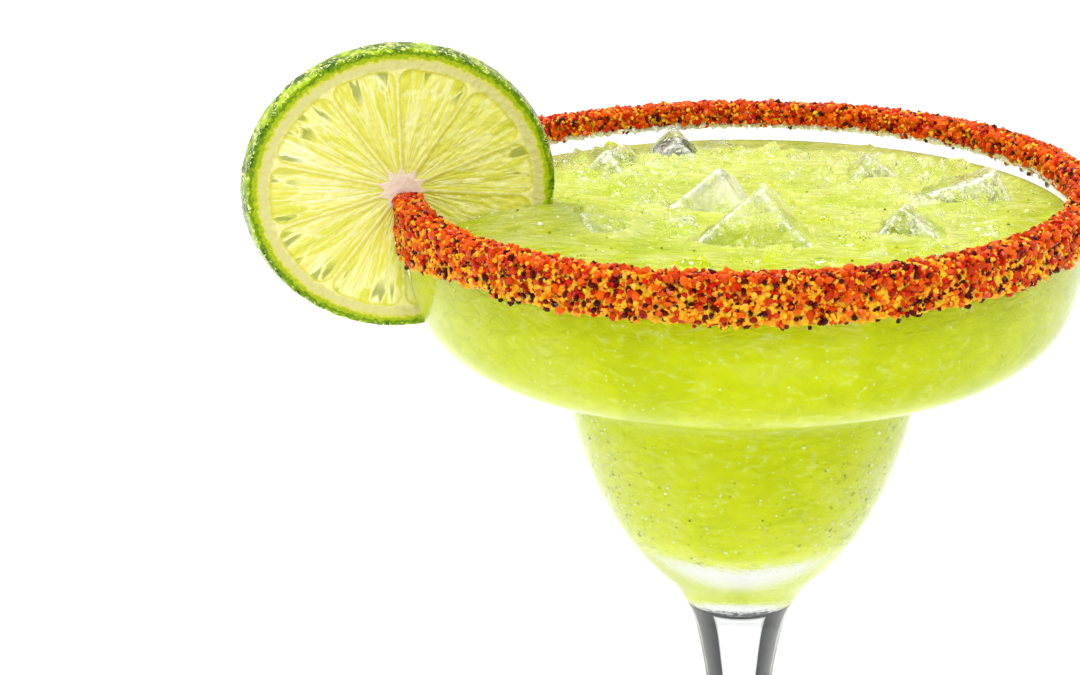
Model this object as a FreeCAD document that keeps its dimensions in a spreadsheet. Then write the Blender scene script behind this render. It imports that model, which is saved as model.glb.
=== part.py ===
import FreeCAD, Part
import math
import os
import Sketcher
from collections import namedtuple

# A margarita served up in its own stemmed glass: a wide upper bowl that steps in at a waist
# to a small round lower bowl, then a stem and a round foot. The rim is crusted with chilli
# salt and carries a wheel of lime, and ice stands out of the drink.
#
# Millimetres. The origin is the middle of the foot's underside, +Z is up, -Y is the front,
# and the lime sits on the rim towards -X.

# Driving sizes, kept in the sheet. Heights in the bowl are measured down from the lip.
SIZES = {
    # glass, outside
    "glass_height": 171.0,
    "rim_radius": 58.2,
    "shoulder_inset": 3.5,  # how far the wall has drawn in at the foot of the shoulder
    "wall_drop": 9.6,  # lip to the corner where the wall starts to lean in
    "shoulder_drop": 24.2,  # lip to the shoulder's corner
    "waist_drop": 32.8,
    "waist_radius": 31.2,
    "belly_drop": 48.1,
    "belly_radius": 28.5,
    "cheek_drop": 64.9,
    "cheek_radius": 20.3,
    "neck_drop": 75.7,
    "neck_radius": 9.3,
    "stem_drop": 95.0,  # lip to where the stem is straight
    "stem_radius": 5.2,
    "foot_radius": 39.0,
    "foot_edge": 3.2,
    "foot_rise": 5.4,  # how far the foot's top climbs from its edge to the stem
    "foot_ring": 6.0,
    "foot_hollow": 1.6,
    # rounding of the glass outside
    "wall_round": 62.0,
    "shoulder_round": 12.2,
    "waist_round": 6.0,
    "belly_round": 75.0,
    "cheek_round": 44.0,
    "neck_round": 23.5,
    "stem_round": 105.0,
    "foot_round": 30.0,
    "edge_round": 1.3,
    "lip_round": 1.0,
    # glass, inside
    "upper_wall": 2.4,
    "lower_wall": 3.0,
    "shelf_lift": 1.8,  # how far the inside corners of the step lie above the outside ones
    "cheek_lift": 4.6,  # the same for the inside corner above the thick base
    "floor_drop": 63.0,  # lip to the bottom of the space inside
    "floor_round": 14.0,
    # drink and crust of chilli salt
    "fill_drop": 5.8,
    "salt_outside": 8.5,
    "salt_inside": 2.8,
    "salt_thick": 1.3,
    "salt_round": 1.5,
    # lime wheel, cut from a fruit whose long axis runs through the wheel
    "lime_width": 54.0,
    "lime_height": 48.9,
    "lime_length": 62.0,
    "slice_start": 4.0,  # from the middle of the fruit to the back face
    "slice_thick": 4.4,
    "lime_lift": 0.5,  # the wheel's middle above the crust
    "lime_out": 1.1,  # and how far it lies outside the middle of the wall
    "lime_around": 189.0,  # degrees round the rim from +X
    "lime_turn": 16.0,
    "lime_lean": -3.0,
    "lime_gap": 0.3,
    # ice
    "ice_round": 2.2,
}

# One piece of ice: its width, depth and height, where its middle lies from the glass's axis,
# how deep that is under the surface, and how it is turned, leant back and rolled.
Ice = namedtuple("Ice", "width deep high across back sunk turn lean roll")

ICE = [
    Ice(21, 13, 22, 2.4, -15.0, 5.4, -8, -12, 50),
    Ice(21, 13, 22, -5.8, 5.1, 7.6, -14, -14, 51),
    Ice(13, 11, 13, 23.8, 30.2, 5.7, 10, -10, 42),
    Ice(13, 12, 20, 36.5, 14.9, 5.9, 4, -12, 68),
    Ice(15, 12, 19, 26.8, -10.3, 8.5, -8, -12, 32),
    Ice(16, 11, 12, -20.7, -9.4, 5.2, 14, 6, 14),
    Ice(12, 10, 13, -23.7, 35.1, 5.8, -16, -8, 40),
    Ice(13, 9, 12, -12.8, 46.4, 5.6, 8, -4, 48),
]

# A corner of a revolved outline: its radius, its height and, if it is rounded, how much.
Corner = namedtuple("Corner", "radius height rounding", defaults=[None])

GLASS_OUTSIDE = [
    Corner("sizes.rim_radius", "sizes.glass_height"),
    Corner("sizes.rim_radius", "sizes.glass_height - sizes.wall_drop", "sizes.wall_round"),
    Corner(
        "sizes.rim_radius - sizes.shoulder_inset",
        "sizes.glass_height - sizes.shoulder_drop",
        "sizes.shoulder_round",
    ),
    Corner("sizes.waist_radius", "sizes.glass_height - sizes.waist_drop", "sizes.waist_round"),
    Corner("sizes.belly_radius", "sizes.glass_height - sizes.belly_drop", "sizes.belly_round"),
    Corner("sizes.cheek_radius", "sizes.glass_height - sizes.cheek_drop", "sizes.cheek_round"),
    Corner("sizes.neck_radius", "sizes.glass_height - sizes.neck_drop", "sizes.neck_round"),
    Corner("sizes.stem_radius", "sizes.glass_height - sizes.stem_drop", "sizes.stem_round"),
    Corner("sizes.stem_radius", "sizes.foot_edge + sizes.foot_rise", "sizes.foot_round"),
    Corner("sizes.foot_radius", "sizes.foot_edge", "sizes.edge_round"),
    Corner("sizes.foot_radius", "0"),
    Corner("sizes.foot_radius - sizes.foot_ring", "0"),
    Corner("0", "sizes.foot_hollow"),
    Corner("0", "sizes.glass_height"),
]


def bowl_inside(top, spread="0"):
    """Outline of the space in the bowl up to the given height, drawn in by spread."""
    return [
        Corner(f"sizes.rim_radius - sizes.upper_wall - ({spread})", top),
        Corner(
            f"sizes.rim_radius - sizes.upper_wall - ({spread})",
            "sizes.glass_height - sizes.wall_drop",
            "sizes.wall_round - sizes.upper_wall",
        ),
        Corner(
            f"sizes.rim_radius - sizes.shoulder_inset - sizes.upper_wall - ({spread})",
            f"sizes.glass_height - sizes.shoulder_drop + sizes.shelf_lift + ({spread})",
            "sizes.shoulder_round - sizes.upper_wall",
        ),
        Corner(
            f"sizes.waist_radius - sizes.lower_wall - ({spread})",
            f"sizes.glass_height - sizes.waist_drop + sizes.shelf_lift + ({spread})",
            "sizes.waist_round - sizes.upper_wall",
        ),
        Corner(
            f"sizes.belly_radius - sizes.lower_wall - ({spread})",
            "sizes.glass_height - sizes.belly_drop",
            "sizes.belly_round - sizes.lower_wall",
        ),
        Corner(
            f"sizes.cheek_radius - sizes.lower_wall - ({spread})",
            "sizes.glass_height - sizes.cheek_drop + sizes.cheek_lift",
            "sizes.floor_round",
        ),
        Corner("0", "sizes.glass_height - sizes.floor_drop"),
        Corner("0", top),
    ]


# The most of a side that the arcs at its two ends may take up.
ARC_SHARE = 0.98

doc = FreeCAD.newDocument("Margarita")


def make_sheet():
    """The sheet of driving sizes, with one alias a row."""
    sheet = doc.addObject("Spreadsheet::Sheet", "sizes")
    rows = dict(SIZES)
    for number, ice in enumerate(ICE, start=1):
        for name, value in ice._asdict().items():
            rows[f"ice_{number}_{name}"] = value
    for row, (name, value) in enumerate(rows.items(), start=1):
        sheet.set(f"A{row}", name)
        sheet.set(f"B{row}", str(value))
        sheet.setAlias(f"B{row}", name)
    doc.recompute()
    return sheet


sheet = make_sheet()


def number(expression):
    """What an expression on the sheet comes to."""
    value = sheet.evalExpression(expression.replace("sizes.", ""))
    return float(getattr(value, "Value", value))


def plane(body, role):
    """The body's own origin plane or axis with this role."""
    return next(item for item in body.Origin.OriginFeatures if item.Role == role)


def new_body(label):
    body = doc.addObject("PartDesign::Body", label)
    body.Label = label
    return body


def new_sketch(body, name, role):
    sketch = body.newObject("Sketcher::SketchObject", name)
    sketch.AttachmentSupport = [(plane(body, role), "")]
    sketch.MapMode = "FlatFace"
    return sketch


def bind(sketch, constraint, name, expression):
    """Adds a dimension to the sketch and ties it to the sheet."""
    index = sketch.addConstraint(constraint)
    sketch.renameConstraint(index, name)
    sketch.setExpression(f"Constraints.{name}", expression)


def pin(sketch, geometry, end, corner, name):
    """Holds a point of the sketch at a corner's radius and height."""
    for axis, line, kind, expression in (
        ("across", -2, "DistanceX", corner.radius),
        ("up", -1, "DistanceY", corner.height),
    ):
        if expression == "0":
            sketch.addConstraint(Sketcher.Constraint("PointOnObject", geometry, end, line))
            continue
        limit = Sketcher.Constraint(kind, -1, 1, geometry, end, number(expression))
        bind(sketch, limit, f"{name}_{axis}", expression)


def corner_reach(points, i, radius):
    """How far along its two sides an arc of this radius reaches from a corner."""
    before = points[i - 1] - points[i]
    after = points[(i + 1) % len(points)] - points[i]
    return radius / math.tan(before.getAngle(after) / 2)


def fitted_rounding(points, corners):
    """Each corner's rounding, eased where two arcs would meet on one side."""
    wanted = [number(c.rounding) if c.rounding else 0.0 for c in corners]
    reach = [corner_reach(points, i, radius) for i, radius in enumerate(wanted)]
    ease = [1.0] * len(corners)
    for i in range(len(corners)):
        after = (i + 1) % len(corners)
        needed = reach[i] + reach[after]
        side = points[i].distanceToPoint(points[after])
        if needed > side * ARC_SHARE:
            ease[i] = min(ease[i], side * ARC_SHARE / needed)
            ease[after] = min(ease[after], side * ARC_SHARE / needed)
    return [f"{e} * ({c.rounding})" if c.rounding else None for e, c in zip(ease, corners)]


def draw_outline(sketch, corners):
    """A closed outline through the corners, whose rounded ones become tangent arcs."""
    points = [FreeCAD.Vector(number(c.radius), number(c.height), 0) for c in corners]
    roundings = fitted_rounding(points, corners)
    count = len(corners)
    entries, exits, arcs = [], [], {}
    for i, rounding in enumerate(roundings):
        if rounding is None:
            entries.append(points[i])
            exits.append(points[i])
            continue
        before = (points[i - 1] - points[i]).normalize()
        after = (points[(i + 1) % count] - points[i]).normalize()
        radius = number(rounding)
        reach = corner_reach(points, i, radius)
        entries.append(points[i] + before * reach)
        exits.append(points[i] + after * reach)
        middle = points[i] + (before + after).normalize() * math.hypot(radius, reach)
        turns_left = before.cross(after).z < 0
        first, last = (entries[i], exits[i]) if turns_left else (exits[i], entries[i])
        angles = [math.atan2(p.y - middle.y, p.x - middle.x) for p in (first, last)]
        circle = Part.Circle(middle, FreeCAD.Vector(0, 0, 1), radius)
        arcs[i] = (Part.ArcOfCircle(circle, angles[0], angles[1]), turns_left)
    sides = [
        sketch.addGeometry(Part.LineSegment(exits[i], entries[(i + 1) % count]))
        for i in range(count)
    ]
    for i, corner in enumerate(corners):
        into, out = sides[i - 1], sides[i]
        if i not in arcs:
            sketch.addConstraint(Sketcher.Constraint("Coincident", into, 2, out, 1))
            pin(sketch, out, 1, corner, f"corner_{i}")
            continue
        shape, turns_left = arcs[i]
        arc = sketch.addGeometry(shape)
        start, end = (1, 2) if turns_left else (2, 1)
        sketch.addConstraint(Sketcher.Constraint("Tangent", into, 2, arc, start))
        sketch.addConstraint(Sketcher.Constraint("Tangent", arc, end, out, 1))
        limit = Sketcher.Constraint("Radius", arc, number(roundings[i]))
        bind(sketch, limit, f"round_{i}", roundings[i])
        tip = sketch.addGeometry(Part.Point(points[i]), True)
        for side in (into, out):
            sketch.addConstraint(Sketcher.Constraint("PointOnObject", tip, 1, side))
        pin(sketch, tip, 1, corner, f"corner_{i}")


def revolve(body, name, corners, kind="PartDesign::Revolution"):
    """Turns an outline about the body's upright axis, to add or to cut."""
    sketch = new_sketch(body, f"{name}_outline", "XZ_Plane")
    draw_outline(sketch, corners)
    doc.recompute()
    turned = body.newObject(kind, name)
    turned.Profile = sketch
    turned.ReferenceAxis = (sketch, ["V_Axis"])
    turned.Angle = 360
    doc.recompute()
    return turned


def cut(name, base, tool):
    """What is left of base once tool is taken away."""
    result = doc.addObject("Part::Cut", name)
    result.Label = name
    result.Base = base
    result.Tool = tool
    return result


def common(name, base, tool):
    """What base and tool share."""
    result = doc.addObject("Part::Common", name)
    result.Label = name
    result.Base = base
    result.Tool = tool
    return result


def make_glass():
    """The glass: turned outside, hollowed bowl and a fire-polished lip."""
    body = new_body("glass")
    revolve(body, "glass_outside", GLASS_OUTSIDE)
    above_lip = "sizes.glass_height + sizes.upper_wall"
    hollow = revolve(body, "glass_inside", bowl_inside(above_lip), "PartDesign::Groove")
    lip = [
        f"Edge{i}"
        for i, edge in enumerate(hollow.Shape.Edges, start=1)
        if all(abs(v.Z - number("sizes.glass_height")) < 1e-6 for v in edge.Vertexes)
        and edge.BoundBox.ZLength < 1e-6
    ]
    polish = body.newObject("PartDesign::Fillet", "lip_polish")
    polish.Base = (hollow, lip)
    polish.setExpression("Radius", "min(sizes.lip_round; sizes.upper_wall * 0.45)")
    doc.recompute()
    return body


def make_salt(glass):
    """The crust of chilli salt that wraps the lip, cut to the glass."""
    body = new_body("salt_blank")
    outer = "sizes.rim_radius + sizes.salt_thick"
    inner = "sizes.rim_radius - sizes.upper_wall - sizes.salt_thick"
    middle = "sizes.rim_radius - sizes.upper_wall / 2"
    top = "sizes.glass_height + sizes.salt_thick"
    outside_end = "sizes.glass_height - sizes.salt_outside"
    inside_end = "sizes.glass_height - sizes.salt_inside"
    section = [
        Corner(outer, top, "sizes.salt_round"),
        Corner(outer, outside_end),
        Corner(middle, outside_end),
        Corner(middle, inside_end),
        Corner(inner, inside_end),
        Corner(inner, top, "sizes.salt_round"),
    ]
    revolve(body, "salt_section", section)
    return cut("chilli_salt", body, glass)


def make_lime():
    """The wheel of lime, slit from its middle down to sit over the crusted wall."""
    around = math.radians(number("sizes.lime_around"))
    seat = FreeCAD.Vector(math.cos(around), math.sin(around), 0)
    upright = FreeCAD.Rotation(FreeCAD.Vector(1, 0, 0), 90 + number("sizes.lime_lean"))
    turned = FreeCAD.Rotation(FreeCAD.Vector(0, 0, 1), number("sizes.lime_turn"))
    facing = turned.multiply(upright)
    axis = facing.multVec(FreeCAD.Vector(0, 0, 1))
    middle = seat * number("sizes.rim_radius - sizes.upper_wall / 2 + sizes.lime_out")
    middle.z = number("sizes.glass_height + sizes.salt_thick + sizes.lime_lift")
    fruit_middle = middle - axis * number("sizes.slice_start + sizes.slice_thick / 2")

    fruit = doc.addObject("Part::Ellipsoid", "lime_fruit")
    fruit.setExpression("Radius1", "sizes.lime_length / 2")
    fruit.setExpression("Radius2", "sizes.lime_width / 2")
    fruit.setExpression("Radius3", "sizes.lime_height / 2")
    fruit.Placement = FreeCAD.Placement(fruit_middle, facing)

    slab = doc.addObject("Part::Box", "lime_slab")
    slab.setExpression("Length", "sizes.lime_width + sizes.slice_thick")
    slab.setExpression("Width", "sizes.lime_height + sizes.slice_thick")
    slab.setExpression("Height", "sizes.slice_thick")
    corner = FreeCAD.Vector(
        -number("sizes.lime_width + sizes.slice_thick") / 2,
        -number("sizes.lime_height + sizes.slice_thick") / 2,
        number("sizes.slice_start"),
    )
    slab.Placement = FreeCAD.Placement(fruit_middle + facing.multVec(corner), facing)
    wheel = common("lime_blank", fruit, slab)
    return cut("lime_wheel", wheel, make_slit())


def make_slit():
    """The crusted wall with its clearance, which the slit in the lime goes round."""
    body = new_body("lime_slit")
    room = "sizes.salt_thick + sizes.lime_gap"
    top = f"sizes.glass_height + {room}"
    outside = [
        Corner(f"sizes.rim_radius + {room}", top),
        Corner(f"sizes.rim_radius + {room}", "sizes.glass_height - sizes.wall_drop"),
        Corner(
            f"sizes.rim_radius - sizes.shoulder_inset + {room}",
            f"sizes.glass_height - sizes.shoulder_drop - ({room})",
        ),
        Corner(
            f"sizes.waist_radius + {room}",
            f"sizes.glass_height - sizes.waist_drop - ({room})",
        ),
        Corner("0", f"sizes.glass_height - sizes.waist_drop - ({room})"),
        Corner("0", top),
    ]
    revolve(body, "slit_outside", outside)
    above = f"{top} + sizes.upper_wall"
    revolve(body, "slit_inside", bowl_inside(above, room)[:4] + [
        Corner("0", f"sizes.glass_height - sizes.waist_drop + sizes.shelf_lift + ({room})"),
        Corner("0", above),
    ], "PartDesign::Groove")
    return body


def make_ice():
    """The pieces of ice, each a softened block tipped on one edge."""
    pieces = []
    for count in range(1, len(ICE) + 1):
        body = new_body(f"ice_{count}")
        block = body.newObject("PartDesign::AdditiveBox", f"block_{count}")
        block.AttachmentSupport = [(plane(body, "XY_Plane"), "")]
        block.MapMode = "FlatFace"
        for side, name in (("Length", "width"), ("Width", "deep"), ("Height", "high")):
            block.setExpression(side, f"sizes.ice_{count}_{name}")
        for letter, name in (("x", "width"), ("y", "deep"), ("z", "high")):
            block.setExpression(
                f"AttachmentOffset.Base.{letter}", f"-sizes.ice_{count}_{name} / 2"
            )
        doc.recompute()
        melt = body.newObject("PartDesign::Fillet", f"melt_{count}")
        melt.Base = (block, [f"Edge{i + 1}" for i in range(len(block.Shape.Edges))])
        melt.setExpression("Radius", "sizes.ice_round")
        turn = FreeCAD.Rotation(
            FreeCAD.Vector(0, 0, 1), number(f"sizes.ice_{count}_turn")
        )
        lean = FreeCAD.Rotation(
            FreeCAD.Vector(1, 0, 0), number(f"sizes.ice_{count}_lean")
        )
        roll = FreeCAD.Rotation(
            FreeCAD.Vector(0, 1, 0), number(f"sizes.ice_{count}_roll")
        )
        body.Placement = FreeCAD.Placement(
            FreeCAD.Vector(0, 0, 0), turn.multiply(lean).multiply(roll)
        )
        body.setExpression("Placement.Base.x", f"sizes.ice_{count}_across")
        body.setExpression("Placement.Base.y", f"sizes.ice_{count}_back")
        body.setExpression(
            "Placement.Base.z",
            f"sizes.glass_height - sizes.fill_drop - sizes.ice_{count}_sunk",
        )
        pieces.append(body)
    doc.recompute()
    return pieces


def make_drink(lime, ice):
    """The drink, which fills the bowl to its level round the lime and the ice."""
    body = new_body("bowl_space")
    revolve(body, "bowl_filling", bowl_inside("sizes.glass_height"))
    level = doc.addObject("Part::Cylinder", "level")
    level.setExpression("Radius", "sizes.rim_radius")
    level.setExpression("Height", "sizes.glass_height - sizes.fill_drop")
    drink = common("drink_level", body, level)
    for count, piece in enumerate([lime, *ice]):
        drink = cut(f"drink_cut_{count}", drink, piece)
    drink.Label = "drink"
    return drink


def check(parts):
    """Stops if any object failed or any piece isn't one sound solid."""
    for item in doc.Objects:
        if "Invalid" in item.State or "Error" in item.State:
            raise RuntimeError(f"{item.Name} failed: {item.State}")
    for part in parts:
        shape = part.Shape
        if shape.isNull() or not shape.isValid():
            raise RuntimeError(f"{part.Label} has no valid shape")
        if len(shape.Solids) != 1:
            raise RuntimeError(f"{part.Label} is {len(shape.Solids)} solids")


glass = make_glass()
salt = make_salt(glass)
lime = make_lime()
ice = make_ice()
drink = make_drink(lime, ice)
doc.recompute()

parts = [glass, drink, salt, lime, *ice]
check(parts)
os.makedirs("parts", exist_ok=True)
for part in parts:
    part.Shape.exportStep(os.path.join("parts", f"{part.Label}.step"))
    print(f"{part.Label}: {part.Shape.Volume / 1000:.2f} cm3")
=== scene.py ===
"""Looks of a margarita in its stepped glass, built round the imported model.

Sizes are in millimetres, as named values on each class, and MM turns them into metres.
Finishes and lamps are in metres. The glass stands at the origin with +Z up, its front towards
-Y and the lime towards -X.
"""

import logging
import math
import random
from dataclasses import dataclass, field
from enum import Enum

import bmesh
import bpy
import numpy as np
from bpy.types import ID, Material, Mesh, Node, NodeSocket, Object
from mathutils import Matrix, Vector, noise
from mathutils.bvhtree import BVHTree

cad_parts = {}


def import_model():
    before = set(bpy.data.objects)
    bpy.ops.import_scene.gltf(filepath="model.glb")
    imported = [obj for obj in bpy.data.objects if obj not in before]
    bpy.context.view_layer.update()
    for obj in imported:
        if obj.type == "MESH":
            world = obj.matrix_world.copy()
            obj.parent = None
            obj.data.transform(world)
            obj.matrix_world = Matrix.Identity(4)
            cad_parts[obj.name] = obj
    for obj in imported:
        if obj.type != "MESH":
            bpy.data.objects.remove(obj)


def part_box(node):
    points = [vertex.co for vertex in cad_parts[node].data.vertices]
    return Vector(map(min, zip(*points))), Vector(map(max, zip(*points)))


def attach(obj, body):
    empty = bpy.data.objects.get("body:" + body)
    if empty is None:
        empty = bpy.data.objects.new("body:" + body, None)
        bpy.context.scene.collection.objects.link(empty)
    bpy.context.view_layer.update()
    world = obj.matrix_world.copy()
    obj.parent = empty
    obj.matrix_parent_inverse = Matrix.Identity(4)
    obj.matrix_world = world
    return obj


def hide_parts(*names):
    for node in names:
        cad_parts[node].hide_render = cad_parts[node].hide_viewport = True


MM = 0.001
SECTORS = 16
NOISE_SEED = 3
LOG = logging.getLogger("margarita")


# ---------------------------------------------------------------- shapes shared by the pieces


@dataclass(frozen=True)
class Corner:
    """A corner of a turned outline, with how much it is rounded."""

    radius: float
    height: float
    rounding: float = 0.0


def eased_roundings(corners: list[Corner]) -> list[float]:
    """Roundings that leave room for each other on the sides they share.

    Args:
        corners: The closed outline.

    Returns:
        One rounding for each corner.
    """
    points = [Vector((c.radius, c.height)) for c in corners]
    count = len(points)
    reach = []
    for i, corner in enumerate(corners):
        before, after = points[i - 1] - points[i], points[(i + 1) % count] - points[i]
        reach.append(corner.rounding / math.tan(before.angle(after) / 2))
    ease = [1.0] * count
    for i in range(count):
        after = (i + 1) % count
        side = 0.98 * (points[after] - points[i]).length
        if reach[i] + reach[after] > side:
            share = side / (reach[i] + reach[after])
            ease[i], ease[after] = min(ease[i], share), min(ease[after], share)
    return [e * c.rounding for e, c in zip(ease, corners)]


def outline_points(
    corners: list[Corner], arc_step: float = 4.0, run: float = 3.0, closed: bool = False
) -> list[Vector]:
    """Points along an outline whose corners are rounded by arcs.

    Args:
        corners: The outline's corners in order, in millimetres.
        arc_step: Degrees of turn between points on an arc.
        run: Longest straight step in millimetres.
        closed: Whether the last corner joins the first.

    Returns:
        Points in metres in the XZ plane.
    """
    roundings = eased_roundings(corners)
    count = len(corners)
    points = [Vector((c.radius, c.height)) for c in corners]
    outline: list[Vector] = []
    for i, radius in enumerate(roundings):
        before = (points[i - 1] - points[i]).normalized()
        after = (points[(i + 1) % count] - points[i]).normalized()
        if radius == 0.0:
            outline.append(points[i])
            continue
        half = before.angle(after) / 2
        reach = radius / math.tan(half)
        middle = points[i] + (before + after).normalized() * math.hypot(radius, reach)
        start = points[i] + before * reach - middle
        turn = start.angle_signed(points[i] + after * reach - middle)
        steps = max(2, math.ceil(abs(math.degrees(turn)) / arc_step))
        for k in range(steps + 1):
            outline.append(middle + Matrix.Rotation(-turn * k / steps, 2) @ start)
    spaced: list[Vector] = []
    if closed:
        outline.append(outline[0])
    for point, after in zip(outline, outline[1:]):
        pieces = max(1, math.ceil((after - point).length / run))
        spaced += [point.lerp(after, k / pieces) for k in range(pieces)]
    if not closed:
        spaced.append(outline[-1])
    return [Vector((p.x, 0.0, p.y)) * MM for p in spaced]


def turned_mesh(outline: list[Vector], steps: int, closed: bool = False) -> bmesh.types.BMesh:
    """A solid turned about the upright axis.

    Args:
        outline: Points in the XZ plane, in metres.
        steps: Faces round the axis, a multiple of SECTORS.
        closed: Whether the last point joins the first.

    Returns:
        The turned mesh, closed at the axis, with its faces pointing out.
    """
    shape = bmesh.new()
    verts = [shape.verts.new(p) for p in outline]
    edges = [shape.edges.new(pair) for pair in zip(verts, verts[1:])]
    if closed:
        edges.append(shape.edges.new((verts[-1], verts[0])))
    sector = math.tau / SECTORS
    centre = {"cent": (0, 0, 0), "axis": (0, 0, 1)}
    bmesh.ops.spin(shape, geom=verts + edges, angle=sector, steps=steps // SECTORS, **centre)
    bmesh.ops.spin(
        shape,
        geom=[*shape.verts, *shape.edges, *shape.faces],
        angle=math.tau - sector,
        steps=SECTORS - 1,
        use_duplicate=True,
        **centre,
    )
    bmesh.ops.remove_doubles(shape, verts=shape.verts, dist=1e-6)
    bmesh.ops.recalc_face_normals(shape, faces=shape.faces)
    return shape


def placed(name: str, data: ID) -> Object:
    """A new object for a mesh, lamp or camera, linked to the scene."""
    made = bpy.data.objects.new(name, data)
    bpy.context.scene.collection.objects.link(made)
    return made


def dressed(
    name: str, mesh: Mesh, finish: Material, smooth: bool
) -> Object:
    """Puts a mesh in the scene with its finish and its shading.

    Args:
        name: The piece's name.
        mesh: Its mesh, in place.
        finish: Its material.
        smooth: Whether its faces are shaded smooth.

    Returns:
        The new object.
    """
    mesh.polygons.foreach_set("use_smooth", [smooth] * len(mesh.polygons))
    mesh.materials.append(finish)
    return placed(name, mesh)


def add_piece(name: str, shape: bmesh.types.BMesh, finish: Material) -> Object:
    """Turns a bmesh into a smooth-shaded object at the origin and frees the bmesh.

    Args:
        name: The piece's name.
        shape: Its mesh, in place.
        finish: Its material.

    Returns:
        The new object, linked to the scene.
    """
    mesh = bpy.data.meshes.new(name)
    shape.to_mesh(mesh)
    shape.free()
    return dressed(name, mesh, finish, True)


@dataclass
class Scatter:
    """Many small things gathered into one mesh from arrays of places."""

    name: str
    finish: Material
    seed: int
    prototypes: list[np.ndarray] = field(default_factory=list)
    faces: list[np.ndarray] = field(default_factory=list)

    def add_prototype(self, shape: bmesh.types.BMesh) -> None:
        """Stores a small triangulated shape of about unit size and frees it."""
        bmesh.ops.triangulate(shape, faces=shape.faces)
        shape.verts.index_update()
        self.prototypes.append(np.array([v.co[:] for v in shape.verts]))
        self.faces.append(np.array([[v.index for v in f.verts] for f in shape.faces]))
        shape.free()

    def add_crystals(self, kinds: int, roughness: float) -> None:
        """Adds uneven crystal prototypes.

        Args:
            kinds: How many different crystals.
            roughness: How far their corners are pushed about, as a share of their size.
        """
        rng = random.Random(self.seed)
        for _ in range(kinds):
            shape = bmesh.new()
            bmesh.ops.create_icosphere(shape, subdivisions=1, radius=1.0)
            for vert in shape.verts:
                vert.co *= 1.0 + rng.uniform(-roughness, roughness)
            self.add_prototype(shape)

    def build(
        self, places: np.ndarray, sizes: np.ndarray, smooth: bool, squash: np.ndarray | None = None
    ) -> Object:
        """Makes the joined mesh.

        Args:
            places: One row of x, y, z in metres for each thing.
            sizes: One radius in metres for each thing.
            smooth: Whether the faces are shaded smooth.
            squash: Optional scales along each thing's own axes.

        Returns:
            The object, whose "tone" attribute is a random share for each thing.
        """
        rng = np.random.default_rng(self.seed)
        count = len(places)
        turns = rng.normal(size=(count, 4))
        turns /= np.linalg.norm(turns, axis=1, keepdims=True)
        w, x, y, z = turns.T
        rows = [
            [1 - 2 * (y * y + z * z), 2 * (x * y - w * z), 2 * (x * z + w * y)],
            [2 * (x * y + w * z), 1 - 2 * (x * x + z * z), 2 * (y * z - w * x)],
            [2 * (x * z - w * y), 2 * (y * z + w * x), 1 - 2 * (x * x + y * y)],
        ]
        rotations = np.array(rows).transpose(2, 0, 1)
        tones = rng.random(count)
        kinds = rng.integers(0, len(self.prototypes), count)
        if squash is None:
            squash = rng.uniform(0.75, 1.25, size=(count, 3))
        verts, faces, tone = [], [], []
        base = 0
        for kind, prototype in enumerate(self.prototypes):
            picked = np.flatnonzero(kinds == kind)
            scaled = prototype[None] * squash[picked][:, None] * sizes[picked][:, None, None]
            turned = np.einsum("nij,nvj->nvi", rotations[picked], scaled)
            verts.append((turned + places[picked][:, None]).reshape(-1, 3))
            offsets = base + np.arange(len(picked))[:, None, None] * len(prototype)
            faces.append((self.faces[kind][None] + offsets).reshape(-1, 3))
            tone.append(np.repeat(tones[picked], len(prototype)))
            base += len(picked) * len(prototype)
        mesh = bpy.data.meshes.new(self.name)
        mesh.from_pydata(np.concatenate(verts).tolist(), [], np.concatenate(faces).tolist())
        layer = mesh.attributes.new("tone", "FLOAT", "POINT")
        layer.data.foreach_set("value", np.concatenate(tone).astype(np.float32))
        return dressed(self.name, mesh, self.finish, smooth)


# ---------------------------------------------------------------- finishes


def shown(red: int, green: int, blue: int) -> tuple[float, float, float]:
    """The linear colour that shows as these 0 to 255 values."""
    return tuple(
        c / 12.92 if c <= 0.04045 else ((c + 0.055) / 1.055) ** 2.4
        for c in (red / 255, green / 255, blue / 255)
    )


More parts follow.
